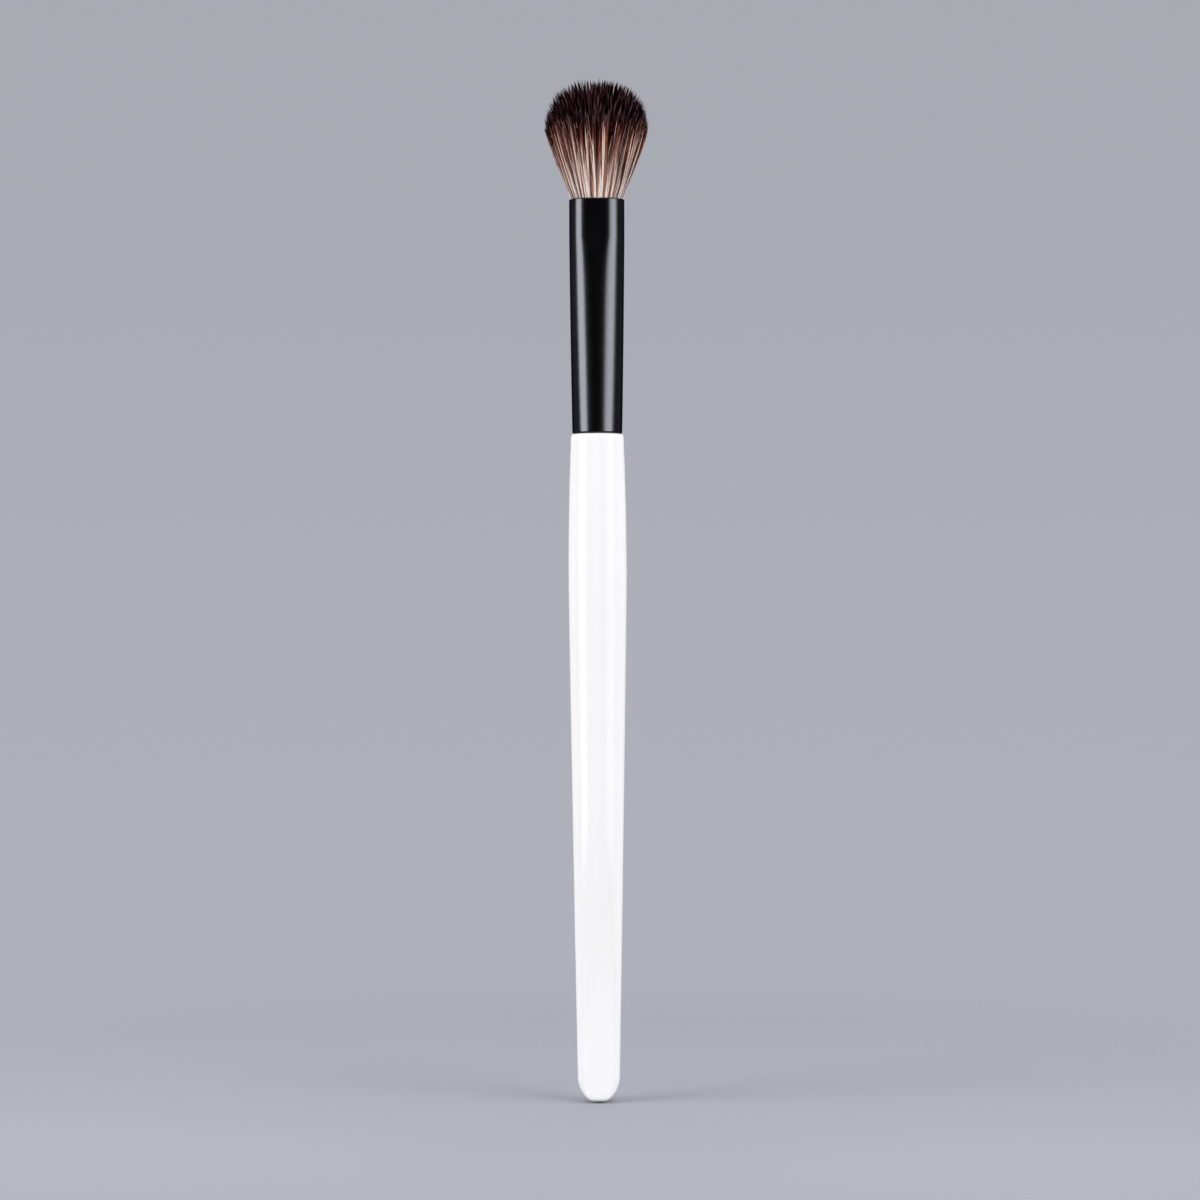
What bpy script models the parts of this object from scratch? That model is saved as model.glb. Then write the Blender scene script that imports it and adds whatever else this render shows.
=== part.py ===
"""Makeup brush: a lacquered wooden handle, a pressed aluminium ferrule and a domed tuft of hair.

The brush stands upright on its tail. The origin is the middle of the tail's foot, +Z runs up the handle
to the hair, X runs across the wide way and -Y is the front. All lengths are in metres.

Every cross-section here is one kind of outline: two half ovals set apart by a flat. With no flat and
equal half sizes it is a circle, and with a flat it is what a press leaves of a round tube.
"""

import math

import bmesh
import bpy
from mathutils import Vector
from mathutils.geometry import delaunay_2d_cdt

MM = 0.001
FIT_GAP = 0.3 * MM  # between a piece and what holds it
SECTION_SIDES = 40  # corners of a cross-section, a multiple of 4
SHARP_ANGLE = math.radians(35)

# Handle, with heights above the foot of its tail
SHOULDER_HEIGHT = 111.05 * MM
SHOULDER_STEP = 0.21 * MM  # how far the shoulder stands out past the ferrule
SHOULDER_ROUND = 0.35 * MM
BELLY_HEIGHT = 87.0 * MM
BELLY_RADIUS = 4.85 * MM
ROUND_ABOVE = 63.0 * MM  # from here up the handle is round
PADDLE_TOP = 20.0 * MM  # from here down it is an even flat paddle
PADDLE_HALF_THICKNESS = 2.4 * MM
PADDLE_EDGE_ROUND = 2.2 * MM  # height in which the paddle's thickness rounds off at its end
PADDLE_FLAT_SHARE = 0.45  # of the paddle's width, level across its front and back
TAIL_HALF_WIDTH = 3.53 * MM
TAIL_ROUND_HEIGHT = 4.58 * MM  # height of the half oval that ends the tail
FOOT_HALF_WIDTH = 0.5 * MM  # the level spot that the tail stands on
TAPER_POWER = 1.1  # 1 is a straight taper from tail to belly
TAIL_RINGS = 8
FLATTENING_RINGS = 13
CONE_RINGS = 2  # few and long, because the round part of the taper is nearly straight
NECK_RINGS = 7
ROUND_STEPS = 4  # rings over a small rounded edge

# Tenon on the handle's upper end, with two turned grooves
TENON_LENGTH = 12.0 * MM
TENON_CHAMFER = 0.6 * MM
GROOVE_DEPTH = 0.9 * MM
GROOVE_WIDTH = 1.8 * MM
GROOVE_HEIGHTS = (2.6 * MM, 7.4 * MM)  # lower edge of each groove above the shoulder

# Ferrule, a round tube whose mouth is pressed to an oval of the same girth
FERRULE_LENGTH = 38.95 * MM
FERRULE_RADIUS = 4.16 * MM
FERRULE_WALL = 0.35 * MM
MOUTH_HALF_WIDTH = 4.6 * MM
MOUTH_HALF_FLAT = 1.25 * MM
CREASE_BELOW_MOUTH = 6.3 * MM  # the press's edge; above it the oval is even
CREASE_FADE = 5.3 * MM  # height in which the flat dies away to a third
PRESS_BOW_SHARE = 0.35  # how far the widening runs ahead of a straight cone
BASE_LIP_HEIGHT = 0.4 * MM
BASE_LIP_TUCK = 0.15 * MM
FERRULE_RINGS = 13

# Hair tuft, with heights above the ferrule's mouth
TUFT_HALF_WIDTH = 8.82 * MM
TUFT_HALF_DEPTH = 6.0 * MM
TUFT_HALF_FLAT = 1.4 * MM
TUFT_WIDEST = 11.7 * MM
DOME_HEIGHT = 8.0 * MM
DOME_POWER = 2.4  # 2 is an oval dome, and more is squarer
TIP_STAGGER = 0.5 * MM
STRAND_CIRCLES = 10  # round the middle strand
STRANDS_MORE = 6  # in each circle than in the one inside it
STRAND_SIDES = 3
STRAND_RADIUS_SHARE = 0.037  # of the tuft's half sizes
FULL_STRAND_SHARE = 0.72  # of a strand's free length before it starts to taper
FULL_THICKNESS_SHARE = 0.92  # of its thickness there
ROOT_BELOW_MOUTH = 5.0 * MM  # top of the glued root block
ROOT_COLLAR = 0.5 * MM
ROOT_FLARE = 0.6 * MM
ROOT_RIM = 0.12 * MM  # of the block's top, clear of the outermost strands
GOLDEN_ANGLE = math.pi * (3 - math.sqrt(5))

# Thread tied round the root block, and the glue behind it
THREAD_DIAMETER = 0.4 * MM
THREAD_SPACE = 0.45 * MM  # between one turn and the next
THREAD_TURNS = 4
THREAD_POINTS_A_TURN = 24
PLUG_THICKNESS = 3.4 * MM
PLUG_DISH = 1.1 * MM
PLUG_DISH_RINGS = 5

# Heights worked out from those sizes
TENON_TOP = SHOULDER_HEIGHT + TENON_LENGTH
FERRULE_BASE = SHOULDER_HEIGHT + FIT_GAP
MOUTH_HEIGHT = FERRULE_BASE + FERRULE_LENGTH
CREASE_HEIGHT = MOUTH_HEIGHT - CREASE_BELOW_MOUTH
WIDEST_HEIGHT = MOUTH_HEIGHT + TUFT_WIDEST
THREAD_PITCH = THREAD_DIAMETER + THREAD_SPACE
THREAD_HEIGHT = THREAD_TURNS * THREAD_PITCH + THREAD_DIAMETER
ROOT_TOP = MOUTH_HEIGHT - ROOT_BELOW_MOUTH
NECK_TOP = ROOT_TOP - ROOT_FLARE
NECK_BASE = NECK_TOP - THREAD_HEIGHT - 2 * FIT_GAP
ROOT_BASE = NECK_BASE - ROOT_COLLAR
PLUG_TOP = ROOT_BASE - FIT_GAP
PLUG_BASE = PLUG_TOP - PLUG_THICKNESS


def blend(start, end, share):
    """The value a share of the way from start to end."""
    return start + (end - start) * share


def held(value, low=0.0, high=1.0):
    """The value, kept between low and high."""
    return max(low, min(high, value))


def eased(start, end, value):
    """A share that rises from 0 at start to 1 at end and is level at both."""
    share = held((value - start) / (end - start))
    return share * share * (3 - 2 * share)


def finish(colour, roughness, metallic=0.0, coat=0.0):
    """The settings of a Principled surface."""
    return {"Base Color": (*colour, 1), "Roughness": roughness, "Metallic": metallic, "Coat Weight": coat}


WHITE_LACQUER = finish((0.88, 0.88, 0.90), 0.18, coat=0.6)
BLACK_ALUMINIUM = finish((0.012, 0.012, 0.014), 0.2, metallic=0.4, coat=0.3)
HAIR = finish((0.30, 0.21, 0.19), 0.6)
THREAD = finish((0.75, 0.72, 0.66), 0.8)
RESIN = finish((0.62, 0.44, 0.20), 0.25)


def dress(thing, surface):
    """Gives an object a material of its own, named after it, and smooth shading between its edges."""
    material = bpy.data.materials.new(thing.name)
    material.use_nodes = True
    shader = material.node_tree.nodes["Principled BSDF"]
    for socket, value in surface.items():
        shader.inputs[socket].default_value = value
    thing.data.materials.append(material)
    if thing.type == "MESH":
        thing.data.shade_smooth()
        thing.data.set_sharp_from_angle(angle=SHARP_ANGLE)
    return thing


def add_object(name, data):
    """A new object in the scene."""
    thing = bpy.data.objects.new(name, data)
    bpy.context.scene.collection.objects.link(thing)
    return thing


def section(half_width, half_depth, half_flat, height):
    """One ring of corners: half ovals left and right of a flat that is level across the front and back.

    The corners sit half a step off the axes, so the flat has a corner at each end of it.
    """
    corners = []
    for number in range(SECTION_SIDES):
        turn = math.tau * (number + 0.5) / SECTION_SIDES
        side = math.copysign(half_flat, math.cos(turn))
        across = side + (half_width - half_flat) * math.cos(turn)
        corners.append(Vector((across, half_depth * math.sin(turn), height)))
    return corners


def circle(radius, height):
    """A round section."""
    return section(radius, radius, 0.0, height)


def loft(name, rings, tube=False):
    """A solid through rings of equal count, capped at both ends, or with its last ring joined to its first.

    Rings that run up a piece, or up a tube's outside and back down its bore, leave the faces pointing out.
    """
    mesh = bmesh.new()
    levels = []
    for ring in rings:
        levels.append([mesh.verts.new(corner) for corner in ring])
    above = levels[1:] + levels[:1] if tube else levels[1:]
    for low, high in zip(levels, above):
        for number in range(SECTION_SIDES):
            after = (number + 1) % SECTION_SIDES
            mesh.faces.new((low[number], low[after], high[after], high[number]))
    if not tube:
        mesh.faces.new(tuple(reversed(levels[0])))
        mesh.faces.new(tuple(levels[-1]))
    data = bpy.data.meshes.new(name)
    mesh.to_mesh(data)
    mesh.free()
    return add_object(name, data)


# Ferrule


def ferrule_section(height, inset=0.0):
    """Half width, half depth and half flat of the ferrule at a height, or of an oval set inside it.

    The width grows from the round base to the crease and the flat dies away below the crease. The depth
    follows from the girth, which stays that of the round tube.
    """
    half_flat = MOUTH_HALF_FLAT * math.exp(-max(0.0, CREASE_HEIGHT - height) / CREASE_FADE)
    rise = held((height - FERRULE_BASE) / (CREASE_HEIGHT - FERRULE_BASE))
    widening = rise * (1 + PRESS_BOW_SHARE * (1 - rise))
    half_width = blend(FERRULE_RADIUS, MOUTH_HALF_WIDTH, widening)
    mean_radius = FERRULE_RADIUS - 2 * half_flat / math.pi
    half_depth = math.sqrt(2 * mean_radius**2 - (half_width - half_flat) ** 2)
    return half_width - inset, half_depth - inset, half_flat


def ferrule_ring(height, inset=0.0):
    """A ring of the ferrule's own section."""
    return section(*ferrule_section(height, inset), height)


def ferrule_heights(top, bottom):
    """Heights of the rings between two ends, with one ring at the crease."""
    heights = []
    for number in range(FERRULE_RINGS):
        height = blend(bottom, CREASE_HEIGHT, number / (FERRULE_RINGS - 1))
        heights.append(height)
    heights.append(blend(CREASE_HEIGHT, top, 0.5))
    return heights


def ferrule():
    """A thin tube, up its outside over a rounded rim and down its bore."""
    rings = [
        ferrule_ring(FERRULE_BASE, BASE_LIP_TUCK),
        ferrule_ring(FERRULE_BASE + BASE_LIP_HEIGHT / 2, BASE_LIP_TUCK / 4),
    ]
    heights = ferrule_heights(MOUTH_HEIGHT, FERRULE_BASE + BASE_LIP_HEIGHT)
    rings += [ferrule_ring(height) for height in heights]
    rim = FERRULE_WALL / 2
    for step in range(2 * ROUND_STEPS + 1):
        turn = math.pi * step / (2 * ROUND_STEPS)
        height = MOUTH_HEIGHT - rim * (1 - math.sin(turn))
        rings.append(ferrule_ring(height, rim * (1 - math.cos(turn))))
    for height in reversed(ferrule_heights(MOUTH_HEIGHT, FERRULE_BASE)):
        rings.append(ferrule_ring(height, FERRULE_WALL))
    return dress(loft("ferrule", rings, tube=True), BLACK_ALUMINIUM)


# Handle


def handle_half_width(height):
    """A half oval at the tail, a near straight taper to the belly, and a parabola from there to the shoulder."""
    shoulder = FERRULE_RADIUS + SHOULDER_STEP
    if height < TAIL_ROUND_HEIGHT:
        return TAIL_HALF_WIDTH * math.sqrt(1 - (1 - height / TAIL_ROUND_HEIGHT) ** 2)
    if height < BELLY_HEIGHT:
        down = (BELLY_HEIGHT - height) / (BELLY_HEIGHT - TAIL_ROUND_HEIGHT)
        return blend(BELLY_RADIUS, TAIL_HALF_WIDTH, down**TAPER_POWER)
    up = (height - BELLY_HEIGHT) / (SHOULDER_HEIGHT - BELLY_HEIGHT)
    return blend(BELLY_RADIUS, shoulder, up**2)


def handle_ring(height):
    """A ring of the handle: a paddle with a flat front and back at the tail, round from ROUND_ABOVE up."""
    half_width = handle_half_width(height)
    roundness = eased(PADDLE_TOP, ROUND_ABOVE, height)
    thickness = PADDLE_HALF_THICKNESS
    if height < PADDLE_EDGE_ROUND:
        thickness *= math.sqrt(1 - (1 - height / PADDLE_EDGE_ROUND) ** 2)
    half_depth = blend(thickness, half_width, roundness)
    half_flat = PADDLE_FLAT_SHARE * half_width * (1 - roundness)
    return section(half_width, half_depth, half_flat, height)


def tenon_radius():
    """The radius that clears the bore where it is narrowest, which is at the tenon's top."""
    return ferrule_section(TENON_TOP, FERRULE_WALL + FIT_GAP)[1]


def foot_ring():
    """The level spot under the tail."""
    depth_share = PADDLE_HALF_THICKNESS / TAIL_HALF_WIDTH
    half_flat = PADDLE_FLAT_SHARE * FOOT_HALF_WIDTH
    return section(FOOT_HALF_WIDTH, FOOT_HALF_WIDTH * depth_share, half_flat, 0.0)


def tenon_rings():
    """From the shoulder's rounded edge in to the tenon, over its two grooves and its chamfer."""
    rings = []
    shoulder = FERRULE_RADIUS + SHOULDER_STEP
    for step in range(1, ROUND_STEPS + 1):
        turn = math.pi / 2 * step / ROUND_STEPS
        radius = shoulder - SHOULDER_ROUND * (1 - math.cos(turn))
        rings.append(circle(radius, SHOULDER_HEIGHT - SHOULDER_ROUND * (1 - math.sin(turn))))
    radius = tenon_radius()
    rings.append(circle(radius, SHOULDER_HEIGHT))
    for groove in GROOVE_HEIGHTS:
        low = SHOULDER_HEIGHT + groove
        rings.append(circle(radius, low))
        rings.append(circle(radius - GROOVE_DEPTH, low))
        rings.append(circle(radius - GROOVE_DEPTH, low + GROOVE_WIDTH))
        rings.append(circle(radius, low + GROOVE_WIDTH))
    rings.append(circle(radius, TENON_TOP - TENON_CHAMFER))
    rings.append(circle(radius - TENON_CHAMFER, TENON_TOP))
    return rings


def handle():
    """The wooden handle, from the foot of its tail up to the top of its tenon."""
    rings = [foot_ring()]
    for number in range(1, TAIL_RINGS + 1):
        turn = math.pi / 2 * number / TAIL_RINGS
        rings.append(handle_ring(TAIL_ROUND_HEIGHT * (1 - math.cos(turn))))
    for number in range(1, FLATTENING_RINGS + 1):
        rings.append(handle_ring(blend(TAIL_ROUND_HEIGHT, ROUND_ABOVE, number / FLATTENING_RINGS)))
    for number in range(1, CONE_RINGS + 1):
        rings.append(handle_ring(blend(ROUND_ABOVE, BELLY_HEIGHT, number / CONE_RINGS)))
    corner = SHOULDER_HEIGHT - SHOULDER_ROUND
    for number in range(1, NECK_RINGS + 1):
        rings.append(handle_ring(blend(BELLY_HEIGHT, corner, number / NECK_RINGS)))
    return dress(loft("handle", rings + tenon_rings()), WHITE_LACQUER)


def tenon_glue(name, groove):
    """A ring of glue that fills a groove and reaches out to the ferrule's bore."""
    low = SHOULDER_HEIGHT + groove + FIT_GAP
    high = SHOULDER_HEIGHT + groove + GROOVE_WIDTH - FIT_GAP
    outer = ferrule_section(high, FERRULE_WALL + FIT_GAP)[1]
    inner = tenon_radius() - GROOVE_DEPTH + FIT_GAP
    rings = [circle(outer, low), circle(outer, high), circle(inner, high), circle(inner, low)]
    return dress(loft(name, rings, tube=True), RESIN)


# Hair tuft


def neck_section():
    """The root block's neck, which leaves room in the bore for the thread round it."""
    room = FERRULE_WALL + 2 * FIT_GAP + THREAD_DIAMETER
    return ferrule_section(MOUTH_HEIGHT, room)


def root_rings():
    """The glued root block: a collar, the neck that the thread is tied on, and the flare to its top."""
    collar = FERRULE_WALL + FIT_GAP
    neck = neck_section()
    return [
        ferrule_ring(ROOT_BASE, collar + ROOT_COLLAR / 2),
        ferrule_ring(ROOT_BASE + ROOT_COLLAR / 2, collar),
        ferrule_ring(NECK_BASE, collar),
        section(*neck, NECK_BASE),
        section(*neck, NECK_TOP),
        ferrule_ring(ROOT_TOP, collar),
    ]


def strand_places():
    """The strands' places in a disc of radius 1: even circles round a middle one.

    Each circle is turned on from the one inside it, except the last. That one stands half a step off the
    axes, so that the brush lies level on two strands of its wide side.
    """
    places = [(0.0, 0.0)]
    for number in range(1, STRAND_CIRCLES + 1):
        count = STRANDS_MORE * number
        start = number * GOLDEN_ANGLE if number < STRAND_CIRCLES else math.pi / count
        for strand in range(count):
            turn = start + math.tau * strand / count
            reach = number / STRAND_CIRCLES
            places.append((reach * math.cos(turn), reach * math.sin(turn)))
    return places


def oval_place(half_width, half_depth, half_flat, across, deep):
    """A point of the disc, spread over an oval with a flat."""
    opened = half_flat * math.sin(across * math.pi / 2)
    return Vector(((half_width - half_flat) * across + opened, half_depth * deep))


def strand_tip(across, deep, number):
    """A strand's tip on the dome, let down a little by turns inside the outermost circle.

    The dome is a squared oval: a circle's reach, as a quarter turn, gives how far out its tips lie by the
    sine and how high by the cosine, each to the power of 2 over DOME_POWER.
    """
    reach = held(math.hypot(across, deep))
    out = math.sin(reach * math.pi / 2) ** (2 / DOME_POWER)
    up = held(math.cos(reach * math.pi / 2)) ** (2 / DOME_POWER)
    further = out / reach if reach else 0.0
    place = oval_place(TUFT_HALF_WIDTH, TUFT_HALF_DEPTH, TUFT_HALF_FLAT, across * further, deep * further)
    stagger = TIP_STAGGER * (number * GOLDEN_ANGLE % 1.0) * (1 - reach)
    return Vector((*place, WIDEST_HEIGHT + DOME_HEIGHT * up - stagger))


def strand_rings(across, deep, number):
    """A strand's rings, from the root block up to where it tapers, and its tip.

    Past the mouth it runs straight to its tip, and thickens with the tuft as that opens.
    """
    tip = strand_tip(across, deep, number)
    bore = ferrule_section(MOUTH_HEIGHT, FERRULE_WALL + FIT_GAP)
    margin = ROOT_RIM + STRAND_RADIUS_SHARE * bore[0]
    mouth = Vector((*oval_place(bore[0] - margin, bore[1] - margin, bore[2], across, deep), MOUTH_HEIGHT))
    root = mouth - Vector((0, 0, ROOT_BELOW_MOUTH))
    full = mouth.lerp(tip, FULL_STRAND_SHARE)
    levels = ((root, 0.0, 1.0), (mouth, 0.0, 1.0), (full, FULL_STRAND_SHARE, FULL_THICKNESS_SHARE))
    rings = []
    for middle, opening, thickness in levels:
        wide = STRAND_RADIUS_SHARE * thickness * blend(bore[0], TUFT_HALF_WIDTH, opening)
        thick = STRAND_RADIUS_SHARE * thickness * blend(bore[1], TUFT_HALF_DEPTH, opening)
        ring = []
        for side in range(STRAND_SIDES):
            turn = number * GOLDEN_ANGLE + math.tau * side / STRAND_SIDES
            ring.append(middle + Vector((wide * math.cos(turn), thick * math.sin(turn), 0)))
        rings.append(ring)
    return rings, tip


def perforated_top(outline, holes):
    """Triangles of the block's top face between its outline and the strands' feet, as corner numbers.

    The outline's corners come first in the numbering, and the feet's corners follow in order.
    """
    flat = [corner.xy / MM for corner in outline]
    faces = []
    for hole in holes:
        start = len(flat)
        flat += [corner.xy / MM for corner in hole]
        faces.append(list(range(start, start + STRAND_SIDES)))
    found = delaunay_2d_cdt(flat, [], faces, 0, 0.0, True)
    triangles, sources = found[2], found[5]
    return [triangle for triangle, source in zip(triangles, sources) if not source]


def hair_tuft():
    """The root block with every strand standing on it, as one closed solid."""
    mesh = bmesh.new()
    block = []
    for ring in root_rings():
        block.append([mesh.verts.new(corner) for corner in ring])
    for low, high in zip(block, block[1:]):
        for number in range(SECTION_SIDES):
            after = (number + 1) % SECTION_SIDES
            mesh.faces.new((low[number], low[after], high[after], high[number]))
    mesh.faces.new(tuple(reversed(block[0])))
    feet = []
    for number, (across, deep) in enumerate(strand_places()):
        rings, tip = strand_rings(across, deep, number)
        levels = []
        for ring in rings:
            levels.append([mesh.verts.new(corner) for corner in ring])
        point = mesh.verts.new(tip)
        for side in range(STRAND_SIDES):
            after = (side + 1) % STRAND_SIDES
            for low, high in zip(levels, levels[1:]):
                mesh.faces.new((low[side], low[after], high[after], high[side]))
            mesh.faces.new((levels[-1][side], levels[-1][after], point))
        feet.append(levels[0])
    corners = list(block[-1])
    for foot in feet:
        corners += foot
    outline = [corner.co for corner in block[-1]]
    holes = [[corner.co for corner in foot] for foot in feet]
    for triangle in perforated_top(outline, holes):
        mesh.faces.new(tuple(corners[number] for number in triangle))
    data = bpy.data.meshes.new("hair_tuft")
    mesh.to_mesh(data)
    mesh.free()
    return dress(add_object("hair_tuft", data), HAIR)


# Thread and glue behind the hair


def thread_route():
    """A helix round the neck, one point for each step of a turn."""
    half_width, half_depth, half_flat = neck_section()
    off = FIT_GAP + THREAD_DIAMETER / 2
    start = NECK_BASE + off
    points = []
    for number in range(THREAD_TURNS * THREAD_POINTS_A_TURN + 1):
        turn = math.tau * (number + 0.5) / THREAD_POINTS_A_TURN
        side = math.copysign(half_flat, math.cos(turn))
        across = side + (half_width + off - half_flat) * math.cos(turn)
        height = start + THREAD_PITCH * number / THREAD_POINTS_A_TURN
        points.append(Vector((across, (half_depth + off) * math.sin(turn), height)))
    return points


def least_gap(points):
    """The least clear space between the thread's turns, from points more than half a turn apart."""
    apart = THREAD_POINTS_A_TURN // 2
    gaps = []
    for number, point in enumerate(points):
        for other in points[number + apart :]:
            gaps.append((other - point).length - THREAD_DIAMETER)
    return min(gaps)


def binding_thread():
    """The thread, one tube with capped ends."""
    points = thread_route()
    print(f"binding thread: least gap to itself {least_gap(points) / MM:.2f} mm")
    curve = bpy.data.curves.new("binding_thread", "CURVE")
    curve.dimensions = "3D"
    curve.bevel_depth = THREAD_DIAMETER / 2
    curve.bevel_resolution = 1
    curve.use_fill_caps = True
    spline = curve.splines.new("POLY")
    spline.points.add(len(points) - 1)
    for place, point in zip(spline.points, points):
        place.co = (*point, 1)
    return dress(add_object("binding_thread", curve), THREAD)


def root_glue_plug():
    """The resin behind the root, as wide as the bore lets it be, with the dished underside it set with."""
    room = FERRULE_WALL + FIT_GAP
    width, depth, flat = ferrule_section(PLUG_BASE, room)
    rings = []
    for step in range(PLUG_DISH_RINGS):
        share = (step + 1) / (PLUG_DISH_RINGS + 1)
        dish = PLUG_DISH * (1 - share**2)
        rings.append(section(width * share, depth * share, flat * share, PLUG_BASE + dish))
    rings.append(section(width, depth, flat, PLUG_BASE))
    rings.append(ferrule_ring(PLUG_TOP, room))
    return dress(loft("root_glue_plug", rings), RESIN)


def main():
    """Clears the scene and builds the brush."""
    for thing in list(bpy.data.objects):
        bpy.data.objects.remove(thing)
    handle()
    tenon_glue("tenon_glue_lower_ring", GROOVE_HEIGHTS[0])
    tenon_glue("tenon_glue_upper_ring", GROOVE_HEIGHTS[1])
    ferrule()
    root_glue_plug()
    hair_tuft()
    binding_thread()


main()
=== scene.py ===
"""A slim makeup brush, upright on its tail in a grey studio.

It has a white lacquered handle, a black pressed ferrule and two-tone hair. Lengths are in metres, in the
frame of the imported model: the middle of the tail's foot is the origin, +Z runs up to the hair, X runs across
the wide way and -Y is the front, where the camera stands.
"""

import math

import bpy
import numpy as np
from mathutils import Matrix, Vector


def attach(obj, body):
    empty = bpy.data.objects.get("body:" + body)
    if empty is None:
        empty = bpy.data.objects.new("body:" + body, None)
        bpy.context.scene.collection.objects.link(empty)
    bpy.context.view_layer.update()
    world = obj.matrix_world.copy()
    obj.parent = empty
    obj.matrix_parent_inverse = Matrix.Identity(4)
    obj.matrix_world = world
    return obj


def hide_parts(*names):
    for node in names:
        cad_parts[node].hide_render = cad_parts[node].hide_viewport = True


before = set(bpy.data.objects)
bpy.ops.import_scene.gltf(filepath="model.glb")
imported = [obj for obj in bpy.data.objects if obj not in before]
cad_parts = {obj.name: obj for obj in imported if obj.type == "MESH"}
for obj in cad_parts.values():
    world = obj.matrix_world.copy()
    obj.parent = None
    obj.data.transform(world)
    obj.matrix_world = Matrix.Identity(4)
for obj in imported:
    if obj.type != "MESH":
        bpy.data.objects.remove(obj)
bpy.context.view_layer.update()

MM = 0.001
PIXEL = 0.16642 * MM  # of the brush for a pixel of the 1200 pixel picture
PICTURE = 1200

# Sizes, most of them shared with the solids. The ferrule sits closer to the shoulder, the paddle's edge is
# rounded over less height, and the tuft is slightly slimmer under a higher and rounder dome.
FIT_GAP = 0.3 * MM
SEAT_GAP = 0.06 * MM  # between the shoulder and the ferrule
SHOULDER_HEIGHT = 111.05 * MM
SHOULDER_STEP = 0.21 * MM  # how far the shoulder stands out past the ferrule
SHOULDER_ROUND = 0.35 * MM
BELLY_HEIGHT = 87.0 * MM
BELLY_RADIUS = 4.85 * MM
PADDLE_HALF_THICKNESS = 2.4 * MM
PADDLE_EDGE_ROUND = 0.8 * MM
TAIL_HALF_WIDTH = 3.53 * MM
TAIL_ROUND_HEIGHT = 4.58 * MM
FOOT_HALF_WIDTH = 0.5 * MM
TAPER_POWER = 1.1  # 1 is a straight taper from tail to belly
TENON_LENGTH = 12.0 * MM
TENON_CHAMFER = 0.6 * MM
GROOVE_DEPTH = 0.9 * MM
GROOVE_WIDTH = 1.8 * MM
GROOVE_HEIGHTS = (2.6 * MM, 7.4 * MM)
FERRULE_LENGTH = 38.95 * MM
FERRULE_RADIUS = 4.16 * MM
FERRULE_WALL = 0.35 * MM
MOUTH_HALF_WIDTH = 4.6 * MM
MOUTH_HALF_FLAT = 1.25 * MM
CREASE_BELOW_MOUTH = 6.3 * MM
CREASE_FADE = 5.3 * MM
PRESS_BOW_SHARE = 0.35
BASE_LIP_HEIGHT = 0.4 * MM
BASE_LIP_TUCK = 0.15 * MM
TUFT_HALF_WIDTH = 8.74 * MM
TUFT_HALF_DEPTH = 5.9 * MM
TUFT_HALF_FLAT = 1.4 * MM
TUFT_WIDEST = 11.7 * MM
DOME_HEIGHT = 8.45 * MM
DOME_POWER = 2.27  # 2 is an oval dome, and more is squarer
ROOT_BELOW_MOUTH = 5.0 * MM
ROOT_COLLAR = 0.5 * MM
ROOT_FLARE = 0.6 * MM
THREAD_DIAMETER = 0.4 * MM
THREAD_SPACE = 0.45 * MM
THREAD_TURNS = 4
GOLDEN_ANGLE = math.pi * (3 - math.sqrt(5))

FERRULE_BASE = SHOULDER_HEIGHT + SEAT_GAP
MOUTH_HEIGHT = FERRULE_BASE + FERRULE_LENGTH
CREASE_HEIGHT = MOUTH_HEIGHT - CREASE_BELOW_MOUTH
WIDEST_HEIGHT = MOUTH_HEIGHT + TUFT_WIDEST
TOP_HEIGHT = WIDEST_HEIGHT + DOME_HEIGHT
TENON_TOP = SHOULDER_HEIGHT + TENON_LENGTH
THREAD_PITCH = THREAD_DIAMETER + THREAD_SPACE
ROOT_TOP = MOUTH_HEIGHT - ROOT_BELOW_MOUTH
NECK_TOP = ROOT_TOP - ROOT_FLARE
NECK_BASE = NECK_TOP - THREAD_TURNS * THREAD_PITCH - THREAD_DIAMETER - 2 * FIT_GAP
ROOT_BASE = NECK_BASE - ROOT_COLLAR

# Shapes that differ from the solids', and how finely the surfaces are cut
FLATTENING = (10.0 * MM, 48.0 * MM)  # heights over which the handle turns from paddle to round
PADDLE_FLAT_SHARE = 0.7  # of the paddle's width, level across its front and back
TAIL_POWER = 2.15  # a little fuller than an oval
QUARTER_STEPS = 24  # corners in a quarter of a section
FLAT_STEPS = 6  # and across each flat
FLAT_LEAN = 0.03  # cosine of the section's turn at the ends of a flat
ROUND_STEPS = 6  # rings over a small rounded edge
TAIL_STEPS = 24
BODY_STEPS = 130
SLEEVE_STEPS = 96  # from the ferrule's base to its crease
MOUTH_STEPS = 12  # from the crease to the mouth, and round the rim
NECK_STEPS = 8
TINY = 1e-6  # keeps a division off zero


def blend(start, end, share):
    """The value a share of the way from start to end."""
    return start + (end - start) * share


def eased(share):
    """A share, kept within 0 and 1, that starts and ends level."""
    share = np.clip(share, 0.0, 1.0)
    return share * share * (3 - 2 * share)


def linear(red, green, blue):
    """The colour that a screen shows as these levels of 255."""
    levels = np.array((red, green, blue)) / 255
    low = levels / 12.92
    high = ((levels + 0.055) / 1.055) ** 2.4
    return tuple(float(value) for value in np.where(levels < 0.04045, low, high))


# Surfaces


def section_turns():
    """Turns of a section's corners: evenly round each half oval, and a few close together for each flat."""
    edge = math.acos(FLAT_LEAN)
    side = np.linspace(-edge, edge, 2 * QUARTER_STEPS + 1)
    flat = np.arccos(np.linspace(FLAT_LEAN, -FLAT_LEAN, FLAT_STEPS + 1)[1:-1])
    return np.concatenate((side, flat, side + math.pi, flat + math.pi))


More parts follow.
